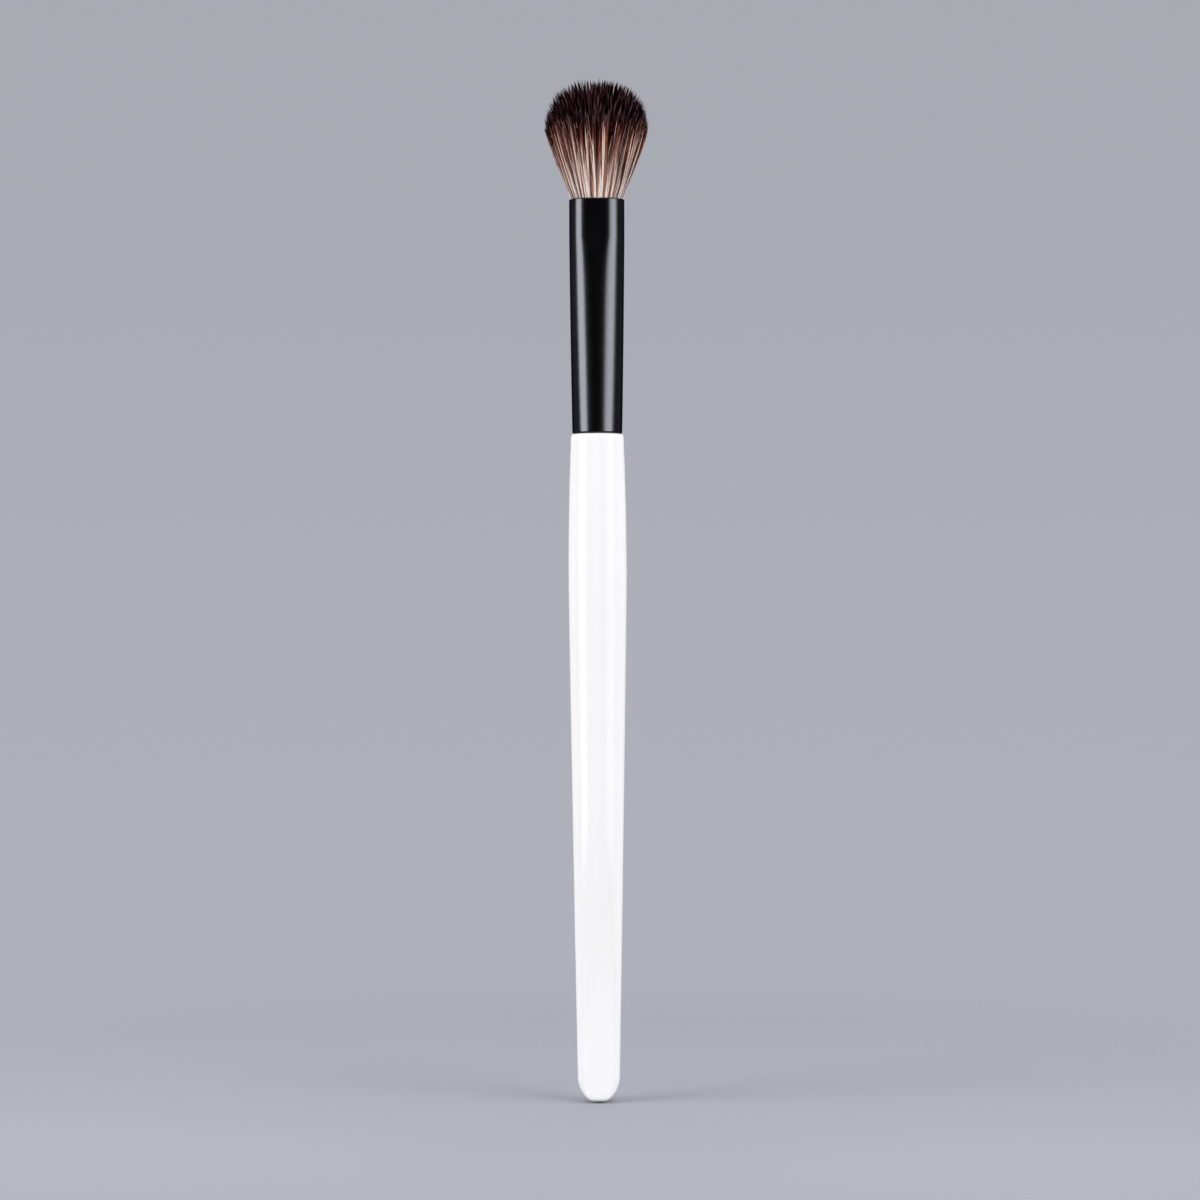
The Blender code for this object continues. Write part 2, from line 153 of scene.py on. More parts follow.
def sections(half_width, half_depth, half_flat, height):
    """Rings of a piece, one for each height.

    x = flat * clip(cos t / lean, -1, 1) + (width - flat) * cos t and y = depth * sin t: half ovals set
    apart by a flat, and a plain oval where the flat is 0.
    """
    turn = section_turns()[None, :]
    sizes = np.broadcast_arrays(half_width, half_depth, half_flat, height)
    width, depth, flat, level = (np.asarray(size, float).reshape(-1, 1) for size in sizes)
    along_flat = np.clip(np.cos(turn) / FLAT_LEAN, -1, 1)
    x = flat * along_flat + (width - flat) * np.cos(turn)
    y = depth * np.sin(turn)
    return np.stack((x, y, np.broadcast_to(level, x.shape)), axis=-1)


def circles(radius, height):
    """Round rings."""
    return sections(radius, radius, 0.0, height)


def make_mesh(name, points, quads, triangles):
    """A mesh from whole arrays of points and corner numbers."""
    mesh = bpy.data.meshes.new(name)
    corners = np.concatenate((quads.ravel(), triangles.ravel()))
    quad_starts = np.arange(len(quads)) * 4
    triangle_starts = len(quads) * 4 + np.arange(len(triangles)) * 3
    mesh.vertices.add(len(points))
    mesh.vertices.foreach_set("co", points.ravel())
    mesh.loops.add(len(corners))
    mesh.loops.foreach_set("vertex_index", corners)
    mesh.polygons.add(len(quads) + len(triangles))
    mesh.polygons.foreach_set("loop_start", np.concatenate((quad_starts, triangle_starts)))
    mesh.update(calc_edges=True)
    mesh.shade_smooth()
    return mesh


def ring_quads(numbers):
    """Corner numbers of the quads between each ring and the next."""
    after = np.roll(numbers, -1, axis=1)
    return np.stack((numbers[:-1], after[:-1], after[1:], numbers[1:]), axis=-1).reshape(-1, 4)


def tube_mesh(name, rings):
    """A skin over rings, (ring, corner, xyz), of which the last meets the first."""
    numbers = np.arange(rings.shape[0] * rings.shape[1]).reshape(rings.shape[:2])
    quads = ring_quads(np.vstack((numbers, numbers[:1])))
    return make_mesh(name, rings.reshape(-1, 3), quads, np.empty((0, 3), int))


def closed_mesh(name, rings, high=None):
    """Skins over stacks of rings, (stack, ring, corner, xyz), each closed by a fan at both ends.

    The fans meet in the middles of the end rings, or in the high points where these are given.
    """
    stacks, count, sides = rings.shape[:3]
    low = rings[:, 0].mean(axis=1)
    high = rings[:, -1].mean(axis=1) if high is None else high
    points = np.concatenate((rings.reshape(stacks, -1, 3), low[:, None], high[:, None]), axis=1)
    numbers = np.arange(count * sides).reshape(count, sides)
    after = np.roll(numbers, -1, axis=1)
    middle = np.full(sides, count * sides)
    low_fan = np.stack((after[0], numbers[0], middle), axis=-1)
    high_fan = np.stack((numbers[-1], after[-1], middle + 1), axis=-1)
    first = np.arange(stacks)[:, None, None] * points.shape[1]
    quads = (first + ring_quads(numbers)).reshape(-1, 4)
    triangles = (first + np.vstack((low_fan, high_fan))).reshape(-1, 3)
    return make_mesh(name, points.reshape(-1, 3), quads, triangles)


def place(name, mesh, material, slot, *nodes, crisp=None):
    """The mesh as a piece of the brush that stands for CAD nodes."""
    piece = bpy.data.objects.new(name, mesh)
    bpy.context.scene.collection.objects.link(piece)
    mesh.materials.append(material)
    if crisp is not None:
        mesh.set_sharp_from_angle(angle=math.radians(crisp))
    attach(piece, "root")
    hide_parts(*nodes)


# Finishes


class Shade:
    """A number of a material, as the socket that gives it, with its sums as Math nodes."""

    def __init__(self, recipe, socket):
        self.recipe = recipe
        self.socket = socket

    def sum_with(self, operation, first, second):
        """A Math node of two values."""
        return self.recipe.node("ShaderNodeMath", {"operation": operation}, {0: first, 1: second})

    def __add__(self, other):
        return self.sum_with("ADD", self, other)

    def __radd__(self, other):
        return self.sum_with("ADD", other, self)

    def __sub__(self, other):
        return self.sum_with("SUBTRACT", self, other)

    def __rsub__(self, other):
        return self.sum_with("SUBTRACT", other, self)

    def __mul__(self, other):
        return self.sum_with("MULTIPLY", self, other)

    def __rmul__(self, other):
        return self.sum_with("MULTIPLY", other, self)

    def __truediv__(self, other):
        return self.sum_with("DIVIDE", self, other)

    def __pow__(self, other):
        return self.sum_with("POWER", self, other)


class Recipe:
    """The nodes of one material or of the world."""

    def __init__(self, owner):
        self.owner = owner
        owner.use_nodes = True
        self.tree = owner.node_tree

    def node(self, kind, settings=None, inputs=None, output=0):
        """Adds a node of a kind with its settings, then its values or links, and gives one output."""
        node = self.tree.nodes.new(kind)
        for name, value in (settings or {}).items():
            if name == "stops":
                self.set_stops(node.color_ramp, value)
            else:
                setattr(node, name, value)
        for name, value in (inputs or {}).items():
            self.join(node.inputs[name], value)
        return Shade(self, node.outputs[output])

    def set_stops(self, ramp, stops):
        """Colours along a ramp."""
        while len(ramp.elements) < len(stops):
            ramp.elements.new(1.0)
        for element, (position, colour) in zip(ramp.elements, stops):
            element.position = position
            element.color = (*colour, 1.0)

    def join(self, socket, value):
        """Links a shade to a socket or sets a plain value on it."""
        if isinstance(value, Shade):
            self.tree.links.new(value.socket, socket)
        elif isinstance(value, tuple) and socket.type == "RGBA":
            socket.default_value = (*value, 1.0)
        else:
            socket.default_value = value

    def clamp(self, value, low, high):
        """The value carried from low..high to 0..1 and held there, with a smooth start and end."""
        settings = {"interpolation_type": "SMOOTHSTEP"}
        inputs = {"Value": value, "From Min": low, "From Max": high}
        return self.node("ShaderNodeMapRange", settings, inputs)

    def mix(self, share, first, second):
        """A colour between two."""
        settings = {"data_type": "RGBA"}
        return self.node("ShaderNodeMix", settings, {0: share, 6: first, 7: second}, output=2)

    def noise(self, vector, scale, detail, roughness=0.5):
        """Soft noise around 0.5, with this many spots in a metre."""
        inputs = {"Vector": vector, "Scale": scale, "Detail": detail, "Roughness": roughness}
        return self.node("ShaderNodeTexNoise", None, inputs)

    def object_place(self, stretch=(1.0, 1.0, 1.0)):
        """The place on the piece, in metres, scaled along each axis."""
        here = self.node("ShaderNodeTexCoord", output=3)
        return self.node("ShaderNodeMapping", None, {"Vector": here, "Scale": stretch})

    def axis(self, vector, number):
        """One coordinate of a vector."""
        return self.node("ShaderNodeSeparateXYZ", None, {0: vector}, output=number)

    def bump(self, height, distance, strength):
        """A normal from a height of 0 to 1 that stands for this distance."""
        inputs = {"Height": height, "Distance": distance, "Strength": strength}
        return self.node("ShaderNodeBump", None, inputs)


def finish(name, fixed, varying):
    """A material: fixed values on the Principled shader and a function that gives its varying sockets."""
    recipe = Recipe(bpy.data.materials.new(name))
    shader = recipe.tree.nodes["Principled BSDF"]
    for socket, value in fixed.items():
        recipe.join(shader.inputs[socket], value)
    for socket, value in varying(recipe).items():
        recipe.join(shader.inputs[socket], value)
    return recipe.owner


RUBBED_HEIGHTS = (0.0, 2.2 * MM)  # over which the rubbed foot turns to sound lacquer
BARE_HEIGHTS = (SHOULDER_HEIGHT + 0.01 * MM, SHOULDER_HEIGHT + 0.03 * MM)  # over which the lacquer ends
SEAM_SHADE_HEIGHTS = (SHOULDER_HEIGHT + 0.5 * MM, SHOULDER_HEIGHT + 0.9 * MM)  # over which the painted shade in the seam ends


def lacquer(recipe):
    """White gloss lacquer with faint orange peel, rubbed dull at the foot.

    The tenon is bare wood, painted near black low down as shade in the seam under the ferrule.
    """
    here = recipe.object_place()
    height = recipe.axis(here, 2)
    peel = recipe.noise(here, 900.0, 1.0)
    cloud = recipe.noise(here, 90.0, 2.0)
    handling = recipe.noise(here, 260.0, 4.0, 0.65)
    rubbed = 1 - recipe.clamp(height, *RUBBED_HEIGHTS)
    bare = recipe.clamp(height, *BARE_HEIGHTS)
    # painted shade: the tenon is near black where it shows in the seam under the ferrule
    seam_shade = 1 - recipe.clamp(height, *SEAM_SHADE_HEIGHTS)
    grain = recipe.noise(recipe.object_place((1.0, 1.0, 0.05)), 2400.0, 3.0, 0.6)
    white = recipe.mix(cloud, linear(245, 244, 245), linear(247, 246, 247))
    white = recipe.mix(rubbed * handling * 0.5, white, linear(224, 222, 218))
    wood = recipe.mix(recipe.clamp(grain, 0.35, 0.65), linear(205, 172, 128), linear(226, 198, 158))
    wood = recipe.mix(seam_shade, wood, linear(26, 24, 25))
    relief = peel * (1 - bare) + grain * bare
    return {
        "Base Color": recipe.mix(bare, white, wood),
        "Roughness": 0.1 + 0.06 * handling + 0.12 * rubbed * handling + 0.45 * bare,
        "Coat Weight": 0.14 * (1 - bare),
        "Normal": recipe.bump(relief, 0.004 * MM, 0.6),
    }


WORN_MOUTH = (MOUTH_HEIGHT - 0.12 * MM, MOUTH_HEIGHT - 0.02 * MM)
WORN_BASE = (FERRULE_BASE, FERRULE_BASE + 0.1 * MM)


def black_gloss(recipe):
    """Black gloss over drawn aluminium: drawing lines along the tube and a little metal at the worn rims."""
    here = recipe.object_place()
    height = recipe.axis(here, 2)
    lines = recipe.noise(recipe.object_place((1.0, 1.0, 0.012)), 5200.0, 2.0, 0.6)
    cloud = recipe.noise(here, 300.0, 3.0)
    mouth = recipe.clamp(height, *WORN_MOUTH)
    base = 1 - recipe.clamp(height, *WORN_BASE)
    worn = (mouth + base) * recipe.clamp(cloud, 0.45, 0.7)
    black = recipe.mix(lines, linear(70, 70, 75), linear(77, 77, 82))
    return {
        "Base Color": recipe.mix(worn * 0.3, black, linear(150, 148, 152)),
        "Roughness": 0.19 + 0.05 * cloud + 0.04 * lines,
        "Normal": recipe.bump(lines, 0.002 * MM, 0.35),
    }


# Hair colours, by the strip that a hair takes across the map and its height up the map. A strip's number is
# SHADES * the hair's reach + its tip's shade. Heights are above the mouth.
REACHES = 8  # by how far up the hair stays cream
SHADES = 8  # of the tip, from near black to mauve grey
HAIR_STRIPS = REACHES * SHADES
HAIR_MAP_HEIGHT = TOP_HEIGHT + 1.0 * MM - ROOT_TOP  # from the top of the root to above the highest tip
WARM_HEIGHTS = (1.0 * MM, 8.0 * MM)  # over which the cream warms
TAN_HEIGHTS = (7.5 * MM, 12.5 * MM)  # over which it turns tan
BROWN_HEIGHTS = (-2.8 * MM, 12.0 * MM)  # where hair of the least and most reach starts to turn brown
BROWN_LENGTH = 3.6 * MM  # over which it turns
RED_HEIGHTS = (2.0 * MM, 10.0 * MM)  # over which the brown reddens
DARK_HEIGHTS = (8.2 * MM, 12.5 * MM)
RED_WAVER = 4.0 * MM  # by how much the streaks move these heights
BROWN_WAVER = 2.0 * MM
DARK_WAVER = 3.0 * MM
REACH_POWER = 0.7  # below 1, more of the hairs stay cream to near the top of the brown heights
CREAM_LATER = 1.6 * MM  # by how much higher hair that is still cream turns dark
TONE_STEP = 0.618034  # from a strip to the next, round from 1 to 0, so that neighbours differ
STREAK_APART = 3.7  # from a strip to the next in the streaks' noise
STREAK_LENGTH = 9.0  # of the map's height in that noise
TIP_COLOURS = (
    (0.0, linear(6, 0, 2)),
    (0.35, linear(30, 10, 14)),
    (0.65, linear(60, 34, 39)),
    (1.0, linear(122, 90, 95)),
)


def hair_colour(recipe):
    """Cream at the root, brown from a height of the hair's own, then red-brown, and black at the tip."""
    spot = recipe.node("ShaderNodeUVMap", {"uv_map": "OFBake"})
    strip = recipe.node("ShaderNodeMath", {"operation": "FLOOR"}, {0: recipe.axis(spot, 0) * HAIR_STRIPS})
    reach = recipe.node("ShaderNodeMath", {"operation": "FLOOR"}, {0: (strip + 0.5) / SHADES})
    shade = (strip - reach * SHADES) / (SHADES - 1)
    tone = recipe.node("ShaderNodeMath", {"operation": "FRACT"}, {0: strip * TONE_STEP})
    up = recipe.axis(spot, 1)
    height = up * HAIR_MAP_HEIGHT - ROOT_BELOW_MOUTH
    along = recipe.node("ShaderNodeCombineXYZ", None, {0: strip * STREAK_APART, 1: up * STREAK_LENGTH})
    streak = recipe.noise(along, 3.0, 3.0, 0.6) - 0.5
    cream = recipe.mix(tone, linear(255, 247, 242), linear(250, 234, 225))
    warm = recipe.mix(tone, linear(255, 234, 222), linear(246, 204, 186))
    cream = recipe.mix(recipe.clamp(height, *WARM_HEIGHTS), cream, warm)
    cream = recipe.mix(recipe.clamp(height, *TAN_HEIGHTS), cream, linear(198, 124, 104))
    brown = recipe.mix(tone, linear(190, 138, 118), linear(54, 18, 12))
    red_brown = recipe.mix(shade, linear(64, 14, 7), linear(168, 94, 72))
    brown = recipe.mix(recipe.clamp(height + streak * RED_WAVER, *RED_HEIGHTS), brown, red_brown)
    start = blend(*BROWN_HEIGHTS, (reach / (REACHES - 1)) ** REACH_POWER)
    turned = recipe.clamp(height + streak * BROWN_WAVER - start, 0.0, BROWN_LENGTH)
    dark_share = shade * 0.85 + (streak + 0.5) * 0.15
    dark = recipe.node("ShaderNodeValToRGB", {"stops": TIP_COLOURS}, {0: dark_share})
    level = height + (tone - 0.5) * DARK_WAVER + streak * DARK_WAVER
    depth = recipe.clamp(level - CREAM_LATER * (1 - turned), *DARK_HEIGHTS)
    return {
        "Base Color": recipe.mix(depth, recipe.mix(turned, cream, brown), dark),
        "Roughness": 0.5 + 0.2 * streak,
        "Coat Weight": 0.85 * (1 - turned) ** 2.0 + 0.15 * recipe.clamp(shade, 0.6, 1.0),
    }


def root_block_colour(recipe):
    """Cream hair soaked in amber resin, in fine upright streaks."""
    streak = recipe.noise(recipe.object_place((1.0, 1.0, 0.08)), 5200.0, 2.0)
    colour = recipe.mix(recipe.clamp(streak, 0.3, 0.7), linear(150, 112, 74), linear(214, 186, 150))
    return {
        "Base Color": colour,
        "Roughness": 0.25 + 0.3 * streak,
        "Normal": recipe.bump(streak, 0.03 * MM, 0.5),
    }


def cotton(recipe):
    """Waxed cotton, with fine fibres that lie across the twist."""
    fibre = recipe.noise(recipe.object_place((1.0, 1.0, 3.0)), 6000.0, 3.0, 0.6)
    colour = recipe.mix(recipe.clamp(fibre, 0.3, 0.7), linear(206, 196, 176), linear(236, 230, 216))
    return {
        "Base Color": colour,
        "Roughness": 0.55 + 0.3 * fibre,
        "Normal": recipe.bump(fibre, 0.02 * MM, 0.5),
    }


def set_resin(recipe):
    """Amber resin, clouded, with small bubbles under its skin."""
    here = recipe.object_place()
    cloud = recipe.noise(here, 700.0, 3.0)
    cells = recipe.node("ShaderNodeTexVoronoi", None, {"Vector": here, "Scale": 2600.0})
    bubble = 1 - recipe.clamp(cells, 0.12, 0.25)
    amber = recipe.mix(cloud, linear(176, 128, 62), linear(214, 172, 104))
    return {
        "Base Color": recipe.mix(bubble * 0.5, amber, linear(240, 216, 168)),
        "Roughness": 0.18 + 0.2 * cloud,
        "Normal": recipe.bump(bubble, 0.02 * MM, 0.4),
    }


# Handle


def handle_half_width(height):
    """Half width of the handle at a height.

    It is tail * (1 - (1 - h)^p)^(1/p) up to the tail's round, a near straight taper to the belly, and a
    parabola to the shoulder.
    """
    below = np.clip(1 - height / TAIL_ROUND_HEIGHT, 0, 1)
    tail = TAIL_HALF_WIDTH * (1 - below**TAIL_POWER) ** (1 / TAIL_POWER)
    down = np.clip((BELLY_HEIGHT - height) / (BELLY_HEIGHT - TAIL_ROUND_HEIGHT), 0, 1)
    taper = blend(BELLY_RADIUS, TAIL_HALF_WIDTH, down**TAPER_POWER)
    up = (height - BELLY_HEIGHT) / (SHOULDER_HEIGHT - BELLY_HEIGHT)
    neck = blend(BELLY_RADIUS, FERRULE_RADIUS + SHOULDER_STEP, up**2)
    low = np.where(height < TAIL_ROUND_HEIGHT, tail, taper)
    return np.where(height < BELLY_HEIGHT, low, neck)


def handle_body(height):
    """Rings of the lacquered part.

    depth = blend(paddle, width, r), where r is eased from 0 to 1 up the flattening.
    """
    width = handle_half_width(height)
    roundness = eased((height - FLATTENING[0]) / (FLATTENING[1] - FLATTENING[0]))
    end = np.sqrt(np.clip(1 - (1 - height / PADDLE_EDGE_ROUND) ** 2, 0, 1))
    thickness = PADDLE_HALF_THICKNESS * np.where(height < PADDLE_EDGE_ROUND, end, 1.0)
    depth = blend(thickness, width, roundness)
    return sections(width, depth, PADDLE_FLAT_SHARE * width * (1 - roundness), height)


def ferrule_sizes(height, inset=0.0):
    """Half width, half depth and half flat of the ferrule at a height, less an inset.

    flat = mouth flat * exp(-below crease / fade), width rises from base to crease with a bow, and the depth
    keeps the girth: depth^2 = 2 (radius - 2 flat / pi)^2 - (width - flat)^2.
    """
    flat = MOUTH_HALF_FLAT * np.exp(-np.maximum(0.0, CREASE_HEIGHT - height) / CREASE_FADE)
    rise = np.clip((height - FERRULE_BASE) / (CREASE_HEIGHT - FERRULE_BASE), 0, 1)
    width = blend(FERRULE_RADIUS, MOUTH_HALF_WIDTH, rise * (1 + PRESS_BOW_SHARE * (1 - rise)))
    mean_radius = FERRULE_RADIUS - 2 * flat / math.pi
    depth = np.sqrt(2 * mean_radius**2 - (width - flat) ** 2)
    return width - inset, depth - inset, flat


def ferrule_rings(height, inset=0.0):
    """Rings of the ferrule's own section, or of an oval set inside it."""
    return sections(*ferrule_sizes(height, inset), height)


def tenon_profile():
    """Radius and height from the shoulder's rounded edge in to the tenon, over its grooves and chamfer."""
    turn = np.linspace(0, math.pi / 2, ROUND_STEPS + 1)[1:]
    shoulder = FERRULE_RADIUS + SHOULDER_STEP
    radii = list(shoulder - SHOULDER_ROUND * (1 - np.cos(turn)))
    heights = list(SHOULDER_HEIGHT - SHOULDER_ROUND * (1 - np.sin(turn)))
    radius = float(ferrule_sizes(TENON_TOP, FERRULE_WALL + FIT_GAP)[1])
    radii.append(radius)
    heights.append(SHOULDER_HEIGHT)
    for groove in GROOVE_HEIGHTS:
        low = SHOULDER_HEIGHT + groove
        radii += [radius, radius - GROOVE_DEPTH, radius - GROOVE_DEPTH, radius]
        heights += [low, low, low + GROOVE_WIDTH, low + GROOVE_WIDTH]
    radii += [radius, radius - TENON_CHAMFER]
    heights += [TENON_TOP - TENON_CHAMFER, TENON_TOP]
    return np.array(radii), np.array(heights)


def make_handle():
    """The handle in one skin, from the foot of its tail to the top of its tenon."""
    foot_depth = FOOT_HALF_WIDTH * PADDLE_HALF_THICKNESS / TAIL_HALF_WIDTH
    foot = sections(FOOT_HALF_WIDTH, foot_depth, PADDLE_FLAT_SHARE * FOOT_HALF_WIDTH, 0.0)
    tail = TAIL_ROUND_HEIGHT * (1 - np.cos(np.linspace(0, math.pi / 2, TAIL_STEPS + 1)[1:]))
    body = np.linspace(TAIL_ROUND_HEIGHT, SHOULDER_HEIGHT - SHOULDER_ROUND, BODY_STEPS + 1)[1:]
    rings = (foot, handle_body(tail), handle_body(body), circles(*tenon_profile()))
    mesh = closed_mesh("lacquered_handle", np.concatenate(rings)[None])
    fixed = {"IOR": 1.5, "Specular IOR Level": 0.1, "Coat Roughness": 0.05}
    material = finish("white_gloss_lacquer", fixed, lacquer)
    place("lacquered_handle", mesh, material, "white_lacquer", "handle", crisp=40)


EDGE_TINT = (0.25, 0.25, 0.26)  # the black lets little of the light through that skims it


def make_ferrule():
    """The ferrule: up its outside over the rounded mouth and down its bore."""
    rim = FERRULE_WALL / 2
    up_lip = np.linspace(0, 1, ROUND_STEPS + 1)[:-1]
    lip = ferrule_rings(FERRULE_BASE + BASE_LIP_HEIGHT * up_lip, BASE_LIP_TUCK * (1 - up_lip) ** 2)
    low = np.linspace(FERRULE_BASE + BASE_LIP_HEIGHT, CREASE_HEIGHT, SLEEVE_STEPS + 1)
    high = np.linspace(CREASE_HEIGHT, MOUTH_HEIGHT - rim, MOUTH_STEPS + 1)[1:-1]
    outside = ferrule_rings(np.concatenate((low, high)))
    turn = np.linspace(0, math.pi, MOUTH_STEPS + 1)
    mouth = ferrule_rings(MOUTH_HEIGHT - rim * (1 - np.sin(turn)), rim * (1 - np.cos(turn)))
    bore_heights = np.concatenate((high[::-1], low[::-1], [FERRULE_BASE]))
    bore = ferrule_rings(bore_heights, FERRULE_WALL)
    mesh = tube_mesh("pressed_ferrule", np.concatenate((lip, outside, mouth, bore)))
    fixed = {"Metallic": 1.0, "Specular Tint": EDGE_TINT}
    material = finish("black_gloss_aluminium", fixed, black_gloss)
    place("pressed_ferrule", mesh, material, "black_aluminium", "ferrule", crisp=50)


# Hair

HAIR_SEED = 17
HAIRS = 12000
HAIR_LAYERS = ("hair_core", "hair_middle", "hair_outer")
LOCKS = 620  # that stay cream in their middle, as they leave the mouth
CLUMPS = 1500  # of one tip shade, that end in a point
HAIR_SCATTER = 0.004  # of the disc, off an even spread
LOCK_SCATTER = 0.014
CLUMP_SCATTER = 0.006
HAIR_RADIUS = 0.042 * MM
ROOT_MARGIN = 0.03 * MM  # between the outermost hairs and the ferrule's bore
HAIR_LEVELS = (0.0, 0.2, 0.42, 0.64, 0.83, 0.96)  # shares of the way from the mouth, before the tip
HAIR_THICKNESSES = (1.0, 1.0, 1.0, 1.0, 1.0, 0.95, 0.75)  # at the root and at each of these
LOCK_GATHER = 0.3  # how far a hair is drawn to its lock at the mouth, which it leaves on the way up
CLUMP_GATHER = 0.92  # how far it is drawn to its clump at the tip
CLUMP_POINT = 0.55 * MM  # by which the outermost hair of a clump is shorter than its middle one
CLUMP_SHORTER = (-0.35 * MM, 0.3 * MM)  # by which a clump ends below the dome
HAIR_SHORTER = 0.07 * MM  # by which a hair is shorter than its place in the clump, on average
HAIR_BEND = 0.09 * MM
LOCK_BEND = 0.2 * MM
LOCK_DRIFT = 0.055  # of the disc, from the mouth to the tips
OPENING_POWER = 0.9  # below 1, the hair leaves the mouth a little wider than straight
TIP_SPLAY = 1.0  # by how much steeper than straight a hair inside the tuft turns outwards at its tip
SPLAY_POWER = 8  # the higher, the nearer to the tuft's side the splay fades
RIM_LIMIT = 1.2  # of a group, past which its hairs are taken to be on its rim
LOCK_REACHES = (0.5, 1.5)  # 0 is brown from the root, and from 1 up is cream the longest
BROWN_LOCKS = 0.15  # share of the locks that are brown from the root
BROWN_LOCK_REACHES = (0.0, 0.2)
MIDDLE_REACH = 1.25  # over 1, so that the hairs round a lock's middle keep all of its reach
REACH_SCATTER = 0.06
SHADE_SHARES = (0.17, 0.17, 0.15, 0.13, 0.12, 0.1, 0.08, 0.08)  # of the clumps
STRAY_SHARE = 0.1  # of the hairs, with a reach and a shade of their own
STRAY_REACH = 0.8  # at most
STRIP_LEAN = 0.3  # of a strip's width, from its middle to a hair's sides in the map


def sunflower(count):
    """Places spread evenly in a disc of radius 1.

    The n-th is at sqrt((n + 1/2) / count), n golden angles round.
    """
    number = np.arange(count)
    reach = np.sqrt((number + 0.5) / count)
    turn = number * GOLDEN_ANGLE
    return np.stack((reach * np.cos(turn), reach * np.sin(turn)), axis=-1)


def inside_disc(places):
    """The places, with those outside the disc brought in to its rim."""
    return places / np.maximum(1.0, np.linalg.norm(places, axis=-1, keepdims=True))


def in_oval(places, half_width, half_depth, half_flat):
    """The disc spread over an oval with a flat: x = (w - f) a + f sin(90 a), y = d b."""
    across, deep = places[..., 0], places[..., 1]
    x = (half_width - half_flat) * across + half_flat * np.sin(across * math.pi / 2)
    return np.stack((x, half_depth * deep), axis=-1)


def on_dome(places):
    """The disc lifted to the tuft's dome: out = sin(90 r)^(2/p) and up = cos(90 r)^(2/p) for a reach r."""
    reach = np.linalg.norm(places, axis=-1, keepdims=True)
    inside = np.clip(reach, TINY, 1.0)
    out = np.sin(inside * math.pi / 2) ** (2 / DOME_POWER) * reach / inside
    up = np.clip(np.cos(inside * math.pi / 2), 0, 1) ** (2 / DOME_POWER)
    spread = places / np.maximum(reach, TINY) * out
    flat_place = in_oval(spread, TUFT_HALF_WIDTH, TUFT_HALF_DEPTH, TUFT_HALF_FLAT)
    return flat_place, WIDEST_HEIGHT + DOME_HEIGHT * up[..., 0]


def nearest_group(homes, groups):
    """For each hair, the nearest group's number and how near its rim the hair is, with 1 on the rim."""
    apart = np.linalg.norm(homes[:, None, :] - groups[None, :, :], axis=-1)
    nearest = apart.argmin(axis=1)
    rim = apart[np.arange(len(homes)), nearest] * math.sqrt(len(groups))
    return nearest, np.clip(rim, 0, RIM_LIMIT)


def hair_strips(lock, rim, clump, random):
    """The colour strip of each hair, by its clump's shade and a reach that falls towards its lock's rim, which
    places the real brown hair as painted shade in the gaps between locks.

    reach = lock's reach * clip(1.25 - rim^2, 0, 1), and the hairs of a brown lock hardly have any.
    """
    count = len(lock)
    lock_reach = random.uniform(*LOCK_REACHES, LOCKS)
    brown = random.random(LOCKS) < BROWN_LOCKS
    lock_reach = np.where(brown, random.uniform(*BROWN_LOCK_REACHES, LOCKS), lock_reach)
    # painted shade: hair round a lock's rim turns brown lower, darkening the gaps between locks
    reach = lock_reach[lock] * np.clip(MIDDLE_REACH - rim**2, 0, 1)
    reach = reach + random.normal(0, REACH_SCATTER, count)
    shade = random.choice(SHADES, CLUMPS, p=SHADE_SHARES)[clump]
    stray = random.random(count) < STRAY_SHARE
    reach = np.where(stray, random.random(count) * STRAY_REACH, reach)
    shade = np.where(stray, random.choice(SHADES, count, p=SHADE_SHARES), shade)
    return np.clip((reach * REACHES).astype(int), 0, REACHES - 1) * SHADES + shade


